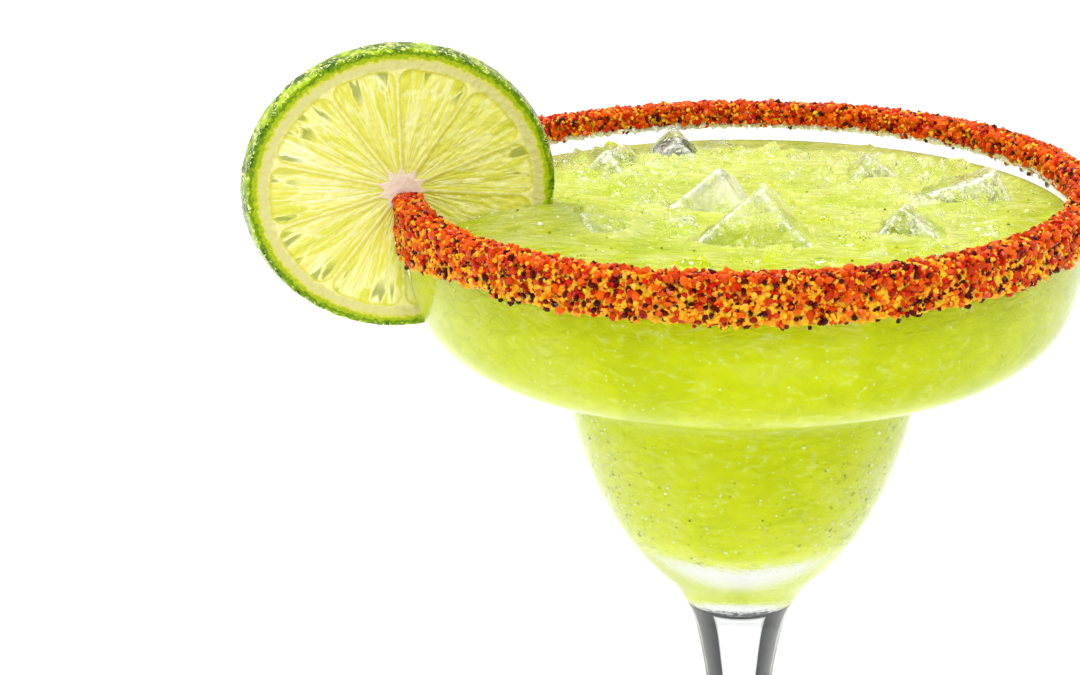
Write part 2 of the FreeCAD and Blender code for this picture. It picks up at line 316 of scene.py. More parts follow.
class NodeBoard:
    """A material's nodes, with short calls to lay them out."""

    def __init__(self, name: str) -> None:
        """Starts a material with nothing but its output."""
        self.material = bpy.data.materials.new(name)
        self.material.use_nodes = True
        self.nodes = self.material.node_tree.nodes
        self.links = self.material.node_tree.links
        self.nodes.clear()
        self.output = self.nodes.new("ShaderNodeOutputMaterial")

    def node(self, kind: str, links: dict | None = None, **values: object) -> Node:
        """Adds a node.

        Args:
            kind: The node's type.
            links: Sockets that feed its inputs, by input name or index.
            **values: Properties of the node, or constants for inputs written as in_NAME.

        Returns:
            The new node.
        """
        made = self.nodes.new(kind)
        for key, value in values.items():
            if key.startswith("in_"):
                made.inputs[key[3:].replace("_", " ")].default_value = value
            else:
                setattr(made, key, value)
        for key, socket in (links or {}).items():
            self.links.new(socket, made.inputs[key])
        return made

    def coordinates(self) -> NodeSocket:
        """The piece's own Object coordinates."""
        return self.node("ShaderNodeTexCoord").outputs["Object"]

    def attribute(self, name: str) -> Node:
        """A node that reads one of the mesh's attributes."""
        return self.node("ShaderNodeAttribute", attribute_name=name)

    def noise(self, vector: NodeSocket, scale: float, detail: float = 3.0,
              roughness: float = 0.5, distortion: float = 0.0) -> NodeSocket:
        """Fractal noise at so many cells a metre.

        Args:
            vector: Coordinates to read it at.
            scale: Cells in a metre.
            detail: Octaves.
            roughness: How strong the finer octaves are.
            distortion: How far it is swirled.

        Returns:
            Its value socket.
        """
        made = self.node(
            "ShaderNodeTexNoise", {"Vector": vector}, in_Scale=scale, in_Detail=detail,
            in_Roughness=roughness, in_Distortion=distortion,
        )
        return made.outputs["Fac"]

    def feed(self, slot: NodeSocket, value: object) -> None:
        """Links a socket to an input, or sets the input to a number or a linear colour."""
        if isinstance(value, NodeSocket):
            self.links.new(value, slot)
        else:
            slot.default_value = (*value, 1.0) if isinstance(value, tuple) else value

    def ramp(self, factor: NodeSocket, stops: list[tuple]) -> NodeSocket:
        """A ramp between colours or greys.

        Args:
            factor: What it is read at.
            stops: Place of each stop, with its linear colour or its grey.

        Returns:
            Its colour socket.
        """
        made = self.node("ShaderNodeValToRGB", {"Fac": factor})
        while len(made.color_ramp.elements) < len(stops):
            made.color_ramp.elements.new(0.5)
        for element, (place, colour) in zip(made.color_ramp.elements, stops):
            element.position = place
            element.color = (*(colour if isinstance(colour, tuple) else (colour,) * 3), 1.0)
        return made.outputs["Color"]

    def span(self, value: NodeSocket, low: float, high: float, most: float = 1.0) -> NodeSocket:
        """Rises from 0 to most as a value goes from low to high."""
        ends = {"in_From_Min": low, "in_From_Max": high, "in_To_Max": most}
        return self.node("ShaderNodeMapRange", {"Value": value}, **ends).outputs[0]

    def mix(self, factor: NodeSocket, first: object, second: object) -> NodeSocket:
        """Mixes two colours, each a socket or a linear colour, by the share of the second."""
        made = self.node("ShaderNodeMix", {0: factor}, data_type="RGBA")
        self.feed(made.inputs[6], first)
        self.feed(made.inputs[7], second)
        return made.outputs[2]

    def blend(self, factor: NodeSocket, first: Node, second: Node) -> Node:
        """Mixes two shaders by the share of the second."""
        links = {0: factor, 1: first.outputs[0], 2: second.outputs[0]}
        return self.node("ShaderNodeMixShader", links)

    def principled(self, colour: object, relief: NodeSocket | None = None,
                   **values: object) -> Node:
        """A Principled shader.

        Args:
            colour: Its base colour, as a socket or a linear colour.
            relief: The normal that it is shaded with, if it isn't the mesh's own.
            **values: Constants for its other inputs, by name.

        Returns:
            The shader.
        """
        links = {} if relief is None else {"Normal": relief}
        constants = {f"in_{name}": value for name, value in values.items()}
        made = self.node("ShaderNodeBsdfPrincipled", links, **constants)
        self.feed(made.inputs["Base Color"], colour)
        return made

    def bump(self, height: NodeSocket, distance: float, strength: float = 1.0,
             under: NodeSocket | None = None) -> NodeSocket:
        """A bump of this depth in metres, on top of another if one is given."""
        links = {"Height": height}
        if under is not None:
            links["Normal"] = under
        made = self.node("ShaderNodeBump", links, in_Distance=distance, in_Strength=strength)
        return made.outputs["Normal"]

    def math(self, operation: str, first: object, second: object = 0.5,
             clamp: bool = False) -> NodeSocket:
        """A math node on sockets or numbers."""
        made = self.node("ShaderNodeMath", operation=operation, use_clamp=clamp)
        self.feed(made.inputs[0], first)
        self.feed(made.inputs[1], second)
        return made.outputs[0]

    def times(self, first: object, second: object) -> NodeSocket:
        """The product of sockets or numbers."""
        return self.math("MULTIPLY", first, second)

    def surface(self, shader: Node) -> Material:
        """Puts a shader on the output and returns the finished material."""
        self.links.new(shader.outputs[0], self.output.inputs["Surface"])
        return self.material


def lit_through(board: NodeBoard, shader: Node) -> Node:
    """Lets lamps shine through a clear shader, so that what it holds is lit.

    Args:
        board: The material's nodes.
        shader: The clear shader.

    Returns:
        The mixed shader.
    """
    path = board.node("ShaderNodeLightPath")
    clear = board.node("ShaderNodeBsdfTransparent")
    shade = board.math("MAXIMUM", path.outputs["Is Shadow Ray"], path.outputs["Is Diffuse Ray"])
    return board.blend(shade, shader, clear)


@dataclass(frozen=True)
class ClearGlass:
    """Polished soda-lime glass with a faint waviness from the mould, painted shade in dark bands on
    its stem and foot, and a pale film on the bowl that is dew and painted sheen.
    """

    tint: tuple = (0.985, 0.995, 0.985)
    # Near-black tint painted into the stem and foot: painted shade for the dark bands that the
    # stem's refraction shows.
    edge_tint: tuple = (0.004, 0.0045, 0.005)
    gloss_tint: tuple = (0.12, 0.12, 0.12)
    # Pale tint of the dew film, which also paints the sheen at the bowl's edges.
    dew_tint: tuple = shown(232, 240, 160)
    ior: float = 1.5
    stem_top: float = 0.0945
    foot_top: float = 0.009
    dry_above: float = 0.166
    misted_below: float = 0.162
    # Shares of painted shade across the stem, by how far each side turns from the camera.
    painted_stem_shade_bands: tuple = (
        (0.185, 0.0), (0.215, 1.0), (0.58, 0.98), (0.67, 0.2), (0.82, 0.1), (0.94, 0.7)
    )

    def material(self) -> Material:
        """The finished material."""
        board = NodeBoard("clear_glass")
        place = board.coordinates()
        wave = board.noise(place, 60.0, 2.0)
        dew = board.noise(place, 850.0, 3.0, 0.6, 1.2)
        height = board.node("ShaderNodeSeparateXYZ", {"Vector": place}).outputs["Z"]
        bowl = board.span(height, self.stem_top, self.stem_top + 0.0006)
        relief = board.bump(wave, 0.0002, 0.35)
        relief = board.bump(board.times(dew, bowl), 0.00016, 0.45, relief)
        facing = board.node("ShaderNodeLayerWeight", in_Blend=0.5).outputs["Facing"]
        # Painted shade: dark bands across the stem by how its sides face the camera, with the bands
        # fading out towards the foot.
        level = board.node("ShaderNodeVectorMath", {0: place}, operation="MULTIPLY")
        level.inputs[1].default_value = (1.0, 1.0, 0.0)
        outward = board.node("ShaderNodeVectorMath", {0: level.outputs[0]}, operation="NORMALIZE")
        across = board.node("ShaderNodeLayerWeight", {"Normal": outward.outputs[0]}, in_Blend=0.5)
        painted_shade = board.ramp(across.outputs["Facing"], self.painted_stem_shade_bands)
        # Painted shade in a ring just under the bowl.
        neck = board.span(height, self.stem_top - 0.0011, self.stem_top - 0.0005)
        painted_shade = board.math("MAXIMUM", painted_shade, neck)
        above = board.span(height, self.foot_top, self.foot_top + 0.012)
        # Painted shade along the outline, where the glass is seen at a slant.
        rim = board.ramp(facing, [(0.62, 0.0), (0.82, 0.4), (0.97, 0.8)])
        painted_shade = board.math("MAXIMUM", board.times(painted_shade, above), rim)
        stem = board.math("SUBTRACT", 1.0, bowl)
        colour = board.mix(board.times(painted_shade, stem), self.tint, self.edge_tint)
        glass = board.principled(
            colour, relief, Roughness=0.0, IOR=self.ior,
            Specular_Tint=(*self.gloss_tint, 1.0), Transmission_Weight=1.0,
        )
        # A pale film that is partly dew and partly painted sheen: it covers the bowl most where the
        # bowl is seen at a slant, so the bowl's edges are painted paler.
        dew_and_sheen_film = board.principled(self.dew_tint, relief, Roughness=0.5, Transmission_Weight=0.5)
        slant = board.ramp(facing, [(0.62, 0.0), (0.80, 0.04), (0.95, 0.30)])
        patchy = board.ramp(dew, [(0.42, 0.35), (0.58, 1.0)])
        cover = board.times(board.times(slant, patchy), bowl)
        brim = board.span(height, self.dry_above, self.misted_below)
        cover = board.times(cover, brim)
        return board.surface(lit_through(board, board.blend(cover, glass, dew_and_sheen_film)))


@dataclass(frozen=True)
class LimeDrink:
    """Cloudy lime-yellow drink with paler slush, streaks and fine bubbles."""

    deep: tuple = shown(198, 214, 0)
    bright: tuple = shown(213, 226, 8)
    pale: tuple = shown(224, 230, 120)
    top_deep: tuple = shown(176, 194, 0)
    top_bright: tuple = shown(198, 211, 14)
    top_pale: tuple = shown(214, 220, 124)
    streak: tuple = shown(238, 243, 170)
    shade: tuple = shown(160, 184, 6)

    def material(self, surface: bool) -> Material:
        """The finished material, which reads the "slush" attribute for paler places.

        Args:
            surface: Whether it is for the wet top, or for the body behind the glass.

        Returns:
            The material.
        """
        board = NodeBoard("drink_surface" if surface else "drink_through_glass")
        place = board.coordinates()
        clouds = board.noise(place, 75.0 if surface else 46.0, 5.0, 0.6, 0.7)
        tones = (self.deep, self.bright, self.pale)
        if surface:
            tones = (self.top_deep, self.top_bright, self.top_pale)
        pale = tones[2]
        body = board.ramp(clouds, list(zip((0.36, 0.52, 0.70 if surface else 0.95), tones)))
        apart = board.node("ShaderNodeSeparateXYZ", {"Vector": place})
        back = board.span(apart.outputs["Y"], -0.01, 0.05, 1.0 if surface else 0.2)
        milky = board.times(back, board.math("ADD", clouds, 0.25))
        body = board.mix(milky, body, pale)
        slush = board.attribute("slush").outputs["Fac"]
        body = board.mix(slush, body, pale)
        stretch = (1.0, 2.6, 1.0) if surface else (1.0, 1.0, 1.6)
        drawn = board.node("ShaderNodeMapping", {"Vector": place}, in_Scale=stretch)
        threads = board.noise(drawn.outputs[0], 260.0, 5.0, 0.62, 1.6)
        strength = 0.6 if surface else 0.3
        thread = board.ramp(threads, [(0.54, 0.0), (0.70, strength)])
        body = board.mix(thread, body, self.streak)
        dark = board.ramp(threads, [(0.34, 0.6 if surface else 0.15), (0.46, 0.0)])
        body = board.mix(dark, body, self.shade)
        specks = board.node("ShaderNodeTexVoronoi", {"Vector": place}, in_Scale=700.0)
        chosen = board.node("ShaderNodeSeparateColor", {"Color": specks.outputs["Color"]})
        speck = board.ramp(specks.outputs["Distance"], [(0.10, 0.7), (0.17, 0.0)])
        few = board.ramp(chosen.outputs[0], [(0.70, 0.0), (0.72, 1.0)])
        speck = board.times(speck, few)
        body = board.mix(speck, body, self.streak)
        ripple = board.noise(drawn.outputs[0], 330.0, 4.0, 0.6, 1.0)
        drink = board.principled(
            body, board.bump(ripple, 0.0014, 0.8), Roughness=0.10 if surface else 0.4,
            IOR=1.34, Specular_IOR_Level=0.5 if surface else 0.05, Subsurface_Weight=0.35,
            Subsurface_Radius=(1.0, 1.0, 0.25), Subsurface_Scale=0.003,
        )
        return board.surface(drink)


@dataclass(frozen=True)
class Crust:
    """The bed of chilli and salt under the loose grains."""

    maroon: tuple = shown(84, 16, 4)
    red: tuple = shown(184, 36, 2)
    orange: tuple = shown(236, 112, 4)
    gold: tuple = shown(254, 200, 34)

    def material(self) -> Material:
        """The finished material."""
        board = NodeBoard("chilli_crust")
        place = board.coordinates()
        cells = board.node("ShaderNodeTexVoronoi", {"Vector": place}, in_Scale=1100.0)
        broad = board.noise(place, 260.0, 3.0, 0.6)
        cell = board.node("ShaderNodeSeparateColor", {"Color": cells.outputs["Color"]})
        share = board.math("ADD", board.times(cell.outputs[0], 0.55), board.times(broad, 0.6))
        colour = board.ramp(
            share,
            [(0.22, self.maroon), (0.30, self.red), (0.42, self.orange), (0.60, self.gold)],
        )
        bed = board.principled(
            colour, board.bump(cells.outputs["Distance"], 0.0004, 0.9), Roughness=0.35,
            Specular_Tint=(0.3, 0.3, 0.3, 1.0), Subsurface_Weight=0.15,
            Subsurface_Radius=(1.0, 0.35, 0.1), Subsurface_Scale=0.0008,
        )
        return board.surface(bed)


class GrainKind(Enum):
    """The kinds of grain on the rim: count, smallest and largest radius, and two tones."""

    LUMP = (3500, 0.34, 0.82, shown(178, 22, 0), shown(246, 104, 0))
    GOLD = (6800, 0.20, 0.52, shown(244, 118, 0), shown(255, 208, 44))
    RED = (4700, 0.20, 0.56, shown(116, 2, 0), shown(226, 36, 0))
    DARK = (2400, 0.22, 0.64, shown(30, 4, 2), shown(96, 8, 2))
    CRYSTAL = (1500, 0.22, 0.62, shown(244, 242, 226), shown(255, 255, 250))

    def __init__(self, count: int, small: float, large: float, low: tuple, high: tuple) -> None:
        """Names the parts of the kind's tuple."""
        self.count = count
        self.small = small
        self.large = large
        self.low = low
        self.high = high

    def material(self) -> Material:
        """The grain's finish: a wet crystal whose tone differs from grain to grain."""
        board = NodeBoard(f"{self.name.lower()}_grain")
        tone = board.attribute("tone").outputs["Fac"]
        mottle = board.noise(board.coordinates(), 1500.0, 2.0)
        share = board.math("ADD", board.times(tone, 0.8), board.times(mottle, 0.3), clamp=True)
        colour = board.ramp(share, [(0.0, self.low), (1.0, self.high)])
        wet = board.principled(
            colour, Roughness=0.14, IOR=1.5, Specular_Tint=(0.3, 0.3, 0.3, 1.0)
        )
        return board.surface(wet)


# ---------------------------------------------------------------- the glass


@dataclass
class BowlGlass:
    """The stepped glass, turned in one piece."""

    height: float = 171.0
    rim: float = 58.2
    brim_drop: float = 9.6
    brim_curve: float = 62.0
    shoulder_in: float = 3.5
    shoulder_drop: float = 24.2
    shoulder_curve: float = 12.2
    waist: float = 31.2
    waist_drop: float = 32.8
    lower_bowl: float = 28.5
    lower_drop: float = 48.1
    base: float = 20.3
    base_drop: float = 64.9
    neck: float = 9.3
    neck_drop: float = 75.7
    stem: float = 5.2
    stem_drop: float = 95.0
    foot: float = 39.0
    foot_edge: float = 3.2
    foot_rise: float = 8.6
    foot_hollow: float = 1.6
    upper_wall: float = 2.4
    lower_wall: float = 3.0
    shelf_lift: float = 1.8
    floor: float = 108.0
    base_lift: float = 4.6
    steps: int = 256
    object: Object | None = None

    def outside(self) -> list[Corner]:
        """Corners of the outside from the foot's hollow up to the lip."""
        top = self.height
        return [
            Corner(0.0, self.foot_hollow),
            Corner(33.0, 0.0, 0.4),
            Corner(self.foot, 0.0, 0.5),
            Corner(self.foot, self.foot_edge, 1.3),
            Corner(self.stem, self.foot_rise, 30.0),
            Corner(self.stem, top - self.stem_drop, 105.0),
            Corner(self.neck, top - self.neck_drop, 23.5),
            Corner(self.base, top - self.base_drop, 44.0),
            Corner(self.lower_bowl, top - self.lower_drop, 75.0),
            Corner(self.waist, top - self.waist_drop, 6.0),
            Corner(self.rim - self.shoulder_in, top - self.shoulder_drop, self.shoulder_curve),
            Corner(self.rim, top - self.brim_drop, self.brim_curve),
            Corner(self.rim, top, 1.0),
        ]

    def inside(self, spread: float = 0.0) -> list[Corner]:
        """Corners of the bowl's inside from the wall's top down to its floor.

        Args:
            spread: How far the outline is pushed out into the glass.

        Returns:
            The corners, without the lip.
        """
        wide = self.upper_wall - spread
        low = self.lower_wall - spread
        top = self.height
        shoulder = top - self.shoulder_drop + self.shelf_lift - spread
        waist = top - self.waist_drop + self.shelf_lift - spread
        return [
            Corner(self.rim - wide, top - self.brim_drop, self.brim_curve - wide),
            Corner(self.rim - self.shoulder_in - wide, shoulder, self.shoulder_curve - wide),
            Corner(self.waist - low, waist, 3.6),
            Corner(self.lower_bowl - low, top - self.lower_drop, 72.0),
            Corner(self.base - low, top - self.base_drop + self.base_lift, 14.0),
            Corner(0.0, self.floor - spread),
        ]

    def build(self) -> None:
        """Turns the glass and dresses it."""
        lip = Corner(self.rim - self.upper_wall, self.height, 1.0)
        outline = outline_points([*self.outside(), lip, *self.inside()], 3.0, 4.0)
        shape = turned_mesh(outline, self.steps)
        self.object = add_piece("glass_bowl_and_stem", shape, ClearGlass().material())
        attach(self.object, "root")
        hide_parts("glass")


# ---------------------------------------------------------------- ice


class IceLook(Enum):
    """How cloudy a piece of ice is inside."""

    CLEAR = 0.15
    HAZY = 0.45
    FROSTY = 0.85


@dataclass(frozen=True)
class IceFinish:
    """Melting ice: clear and wet outside, with white frost and bubbles inside, and whiter along its
    edges as frost and painted glints.
    """

    look: IceLook

    def material(self) -> Material:
        """The finished material."""
        board = NodeBoard(f"ice_{self.look.name.lower()}")
        place = board.coordinates()
        wave = board.noise(place, 170.0, 3.0, 0.55, 0.4)
        fine = board.noise(place, 900.0, 2.0)
        relief = board.bump(fine, 0.00012, 0.5, board.bump(wave, 0.0012, 0.45))
        clear = board.principled(
            shown(252, 254, 240), relief, Roughness=0.03, IOR=1.2, Transmission_Weight=1.0
        )
        frost = board.principled(
            shown(253, 254, 232), relief, Roughness=0.14, IOR=1.31, Subsurface_Weight=0.8,
            Subsurface_Radius=(1.0, 1.0, 0.8), Subsurface_Scale=0.004,
        )
        cloud = board.noise(place, 120.0, 5.0, 0.6, 1.4)
        start = 0.74 - 0.44 * self.look.value
        share = board.ramp(cloud, [(start, 0.0), (start + 0.22, self.look.value)])
        # Whiter along the block's edges: frost, and painted glints where the edges catch the light.
        edge = board.attribute("edge").outputs["Fac"]
        frost_and_glint_beads = board.ramp(board.noise(place, 1100.0, 2.0), [(0.42, 0.2), (0.56, 1.0)])
        edge = board.times(edge, frost_and_glint_beads)
        flecks = board.ramp(fine, [(0.62, 0.0), (0.68, 0.8)])
        share = board.math("MAXIMUM", board.math("MAXIMUM", share, edge), flecks, clamp=True)
        return board.surface(lit_through(board, board.blend(share, clear, frost)))


@dataclass
class IceBlock:
    """One block of ice, tipped on an edge: its node, sizes, turns and look."""

    node: str
    size: tuple[float, float, float]
    turns: tuple[float, float, float]
    look: IceLook
    rounding: float = 1.3
    cuts: int = 23
    settle: float = 0.7
    broad_wave: tuple[float, float] = (11.0, 1.2)
    small_wave: tuple[float, float] = (3.0, 0.3)
    edge_width: float = 0.7
    tree: BVHTree | None = None

    def shape(self) -> bmesh.types.BMesh:
        """A rounded block with a melted, wavy surface, in its place."""
        shape = bmesh.new()
        bmesh.ops.create_cube(shape, size=2.0)
        bmesh.ops.subdivide_edges(shape, edges=shape.edges, cuts=self.cuts, use_grid_fill=True)
        half = Vector(self.size) / 2
        core = Vector(side - self.rounding for side in half)
        seed = Vector((5.0, 3.1, 1.7)) * int(self.node[-1])
        rind = shape.verts.layers.float.new("edge")
        for vert in shape.verts:
            full = Vector(c * h for c, h in zip(vert.co, half))
            inner = Vector(max(-c, min(c, f)) for c, f in zip(core, full))
            point = inner + (full - inner).normalized() * self.rounding
            if (full - inner).length < 1e-6:
                point = full
            # Closeness to the block's nearest edge, which the finish paints whiter as frost and
            # painted glints.
            second_gap = sorted(h - abs(f) for h, f in zip(half, full))[1]
            vert[rind] = math.exp(-second_gap / self.edge_width)
            melted = point.copy()
            for length, depth in (self.broad_wave, self.small_wave):
                melted += noise.noise_vector(point / length + seed) * depth
            vert.co = melted * MM
        low, high = (Vector(c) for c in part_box(self.node))
        turn, lean, roll = (math.radians(a) for a in self.turns)
        place = (
            Matrix.Translation((low + high) / 2 - Vector((0, 0, self.settle * MM)))
            @ Matrix.Rotation(turn, 4, "Z")
            @ Matrix.Rotation(lean, 4, "X")
            @ Matrix.Rotation(roll, 4, "Y")
        )
        bmesh.ops.transform(shape, matrix=place, verts=shape.verts)
        bmesh.ops.recalc_face_normals(shape, faces=shape.faces)
        return shape

    def build(self) -> None:
        """Makes the block and keeps a search tree of it for what lies round it."""
        shape = self.shape()
        self.tree = BVHTree.FromBMesh(shape)
        piece = add_piece(f"{self.node}_block", shape, IceFinish(self.look).material())
        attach(piece, "root")
        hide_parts(self.node)


@dataclass
class IcePile:
    """All the ice that stands out of the drink."""

    blocks: list[IceBlock] = field(
        default_factory=lambda: [
            IceBlock("ice_1", (21, 13, 22), (-8, -12, 50), IceLook.CLEAR),
            IceBlock("ice_2", (21, 13, 22), (-14, -14, 51), IceLook.FROSTY),
            IceBlock("ice_3", (14, 12, 14), (10, -10, 42), IceLook.HAZY, settle=0.4),
            IceBlock("ice_4", (14, 13, 22), (4, -12, 68), IceLook.HAZY, settle=0.0),
            IceBlock("ice_5", (16, 12, 20), (-8, -12, 38), IceLook.CLEAR, settle=-0.9),
            IceBlock("ice_6", (16, 11, 12), (14, 6, 14), IceLook.CLEAR, settle=0.2),
            IceBlock("ice_7", (14, 12, 15), (-16, -8, 40), IceLook.HAZY, settle=0.6),
            IceBlock("ice_8", (14, 10, 13), (8, -4, 48), IceLook.HAZY, settle=0.4),
        ]
    )

    def build(self) -> None:
        """Makes every block."""
        for block in self.blocks:
            block.build()

    def distance(self, point: Vector) -> float:
        """Distance from a point to the nearest ice, in metres."""
        return min(block.tree.find_nearest(point)[3] for block in self.blocks)

    def underside(self, point: Vector) -> float | None:
        """Height of the ice's underside below a point inside it.

        Args:
            point: A point at the drink's level.

        Returns:
            The height, or None where the point isn't inside any ice.
        """
        down, up = Vector((0, 0, -1)), Vector((0, 0, 1))
        for block in self.blocks:
            below, above = block.tree.ray_cast(point, down), block.tree.ray_cast(point, up)
            if below[0] and above[0] and below[1].z < 0 and above[1].z > 0:
                return below[0].z
        return None


# ---------------------------------------------------------------- the drink


@dataclass
class Drink:
    """The drink, which fills the bowl up to its level and reaches just into the wall."""

    glass: BowlGlass
    ice: IcePile
    level: float = 165.2
    spread: float = 0.2
    ring: float = 0.5
    pit: float = 3.2
    steps: int = 352
    ripple: float = 0.55
    fall: float = 0.9
    meniscus: float = 0.7
    mound: float = 3.2
    mound_at: tuple[float, float] = (-33.0, -6.0)
    mound_wide: float = 15.0
    creep: float = 0.9

    def build(self) -> None:
        """Turns the body of the drink, then shapes its surface."""
        body = self.glass.inside(self.spread)
        edge = Corner(self.glass.rim - self.glass.upper_wall + self.spread, self.level)
        side = outline_points([edge, *body], 6.0, 4.0)
        rings = round(edge.radius / self.ring)
        top = [Vector((edge.radius * k / rings, 0, self.level)) * MM for k in range(rings)]
        shape = turned_mesh(top + side, self.steps)
        slush = shape.verts.layers.float.new("slush")
        for vert in shape.verts:
            if abs(vert.co.z - self.level * MM) < 1e-6:
                self.shape_surface(vert, slush)
        for face in shape.faces:
            wet = all(vert.co.z > (self.level - 12) * MM and vert[slush] for vert in face.verts)
            face.material_index = int(wet)
        shape.normal_update()
        piece = add_piece("drink_body", shape, LimeDrink().material(False))
        piece.data.materials.append(LimeDrink().material(True))
        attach(piece, "root")
        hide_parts("drink")

    def shape_surface(self, vert: bmesh.types.BMVert, slush: bmesh.types.BMLayerItem) -> None:
        """Lifts or lowers a point of the surface.

        Args:
            vert: The point, at the level.
            slush: Layer that says how pale the drink is there.
        """
        flat = vert.co.copy()
        under = self.ice.underside(flat)
        if under is not None:
            vert.co.z = max(under + 0.3 * MM, (self.level - self.pit) * MM)
            vert[slush] = 0.35
            return
        gap = self.ice.distance(flat) / MM
        vert.co.z += (self.lift(flat.xy / MM) + self.meniscus * math.exp(-gap / self.creep)) * MM
        wave = self.wave(flat.xy / MM)
        vert[slush] = min(1.0, 0.7 * math.exp(-gap / 2.5) + max(0.01, 0.8 * wave))

    def wave(self, flat: Vector) -> float:
        """The surface's ripple at a place across it, in millimetres."""
        return noise.fractal(Vector((flat.x / 11, flat.y / 6, 3.0)), 1.0, 2.0, 4)

    def lift(self, flat: Vector) -> float:
        """How far the surface lies above its level.

        Args:
            flat: Place across the glass in millimetres.

        Returns:
            The height in millimetres, without the rise against the ice.
        """
        wall = max(0.0, self.glass.rim - self.glass.upper_wall - flat.length)
        away = math.dist(flat, self.mound_at)
        rise = self.mound * math.exp(-((away / self.mound_wide) ** 2))
        rise -= self.fall * flat.y / self.glass.rim
        rise += self.meniscus * math.exp(-wall / self.creep)
        return rise + self.ripple * self.wave(flat) * min(1.0, wall / 2)


@dataclass
class CrushedIce:
    """Chips of ice that float among the larger pieces."""

    drink: Drink
    count: int = 300
    seed: int = 5
    lime_clear: float = 16.0
    heaped: float = 0.55
    reach: float = 53.0
    widest: float = 53.5
    heap_spread: float = 6.5
    sunk: float = 0.42

    def build(self) -> None:
        """Scatters the chips over the surface."""
        rng = np.random.default_rng(self.seed)
        chips = Scatter("ice_chips", IceFinish(IceLook.HAZY).material(), self.seed)
        for _ in range(5):
            shape = bmesh.new()
            bmesh.ops.create_cube(shape, size=1.5)
            for vert in shape.verts:
                vert.co += Vector(rng.uniform(-0.28, 0.28, 3))
            bmesh.ops.bevel(
                shape, geom=shape.edges, offset=0.12, segments=1, profile=0.5,
                affect="EDGES", material=-1,
            )
            chips.add_prototype(shape)
        places, sizes = [], []
        while len(places) < self.count:
            away, around = self.reach * math.sqrt(rng.random()), rng.uniform(0, math.tau)
            flat = Vector((away * math.cos(around), away * math.sin(around), self.drink.level))
            size = 0.9 + 3.3 * rng.random() ** 2.2
            if rng.random() < self.heaped:
                low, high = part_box(f"ice_{rng.integers(3, 9)}")
                stray = Vector(rng.normal(0, self.heap_spread, 3))
                flat = (Vector(low) + Vector(high)) / 2 / MM + stray
                flat.z = self.drink.level
                size = rng.uniform(1.4, 4.6)
            back = 0.5 + 0.5 * flat.y / 55
            if rng.random() > 0.25 + 0.75 * back or flat.xy.length > self.widest:
                continue
            if (flat.xy - Vector(self.drink.mound_at)).length < self.lime_clear:
                continue
            if self.drink.ice.distance(flat * MM) < size * 0.3 * MM:
                continue
            lift = self.drink.lift(flat.xy)
            places.append((flat.x, flat.y, self.drink.level + lift - self.sunk * size))
            sizes.append(size)
        squash = rng.uniform(0.6, 1.25, (self.count, 3))
        piece = chips.build(np.array(places) * MM, np.array(sizes) * MM, False, squash)
        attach(piece, "root")


@dataclass
class Bubbles:
    """Fine bubbles on the drink and on the inside of the glass."""

    drink: Drink
    wall_count: int = 4600
    floor_count: int = 420
    top_count: int = 900
    wall_reach: float = 30.0
    floor_reach: float = 1.1
    flanks: tuple = (-156, -24, 24, 156)
    flank_spread: float = 14.0
    flank_share: float = 0.74
    seed: int = 9

    def finish(self) -> Material:
        """Bubbles painted pale, as froth and as painted glints, with a few painted dark where they
        show dark against the light.
        """
        board = NodeBoard("bubbles")
        tone = board.attribute("tone").outputs["Fac"]
        # Most bubbles are painted pale, as froth and as painted glints; a few are painted dark
        # olive where they show dark against the light.
        colour = board.ramp(
            tone,
            [(0.0, shown(250, 252, 222)), (0.62, shown(228, 236, 130)), (0.78, shown(190, 204, 40)),
             (0.97, shown(110, 124, 12))],
        )
        return board.surface(board.principled(colour, Roughness=0.08, IOR=1.33))

    def build(self) -> None:
        """Scatters the bubbles."""
        rng = np.random.default_rng(self.seed)
        count, floor = self.wall_count, self.drink.glass.floor * MM
        inside = outline_points(self.drink.glass.inside(), 6.0, 2.0)[::-1]
        height = floor + self.wall_reach * MM * rng.beta(1.0, 1.6, count)
        around = rng.uniform(0, math.tau, count)
        flank = rng.choice(self.flanks, count) + rng.normal(0, self.flank_spread, count)
        around = np.where(rng.random(count) < self.flank_share, np.radians(flank), around)
        near_floor = rng.random(self.floor_count)
        height[: self.floor_count] = floor + self.floor_reach * MM * near_floor
        radius = np.interp(height, [p.z for p in inside], [p.x for p in inside])
        radius += self.drink.spread * MM
        wall = np.stack([radius * np.cos(around), radius * np.sin(around), height], axis=1)
        wall_sizes = rng.gamma(2.0, 0.05, count) + 0.08
        top = []
        while len(top) < self.top_count:
            away, turn = 55.0 * rng.random() ** 0.4, rng.uniform(0, math.tau)
            flat = Vector((away * math.cos(turn), away * math.sin(turn)))
            at = Vector((*flat, self.drink.level)) * MM
            if self.drink.ice.underside(at) is None:
                top.append((flat.x, flat.y, self.drink.level + self.drink.lift(flat)))
        top_sizes = rng.gamma(2.0, 0.06, self.top_count) + 0.06
        froth = Scatter("bubbles_fine", self.finish(), self.seed)
        shape = bmesh.new()
        bmesh.ops.create_icosphere(shape, subdivisions=1, radius=1.0)
        froth.add_prototype(shape)
        places = np.concatenate([wall, np.array(top) * MM])
        sizes = np.concatenate([wall_sizes, top_sizes]) * MM
        piece = froth.build(places, sizes, True, np.ones((len(places), 3)))
        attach(piece, "root")


# ---------------------------------------------------------------- chilli salt


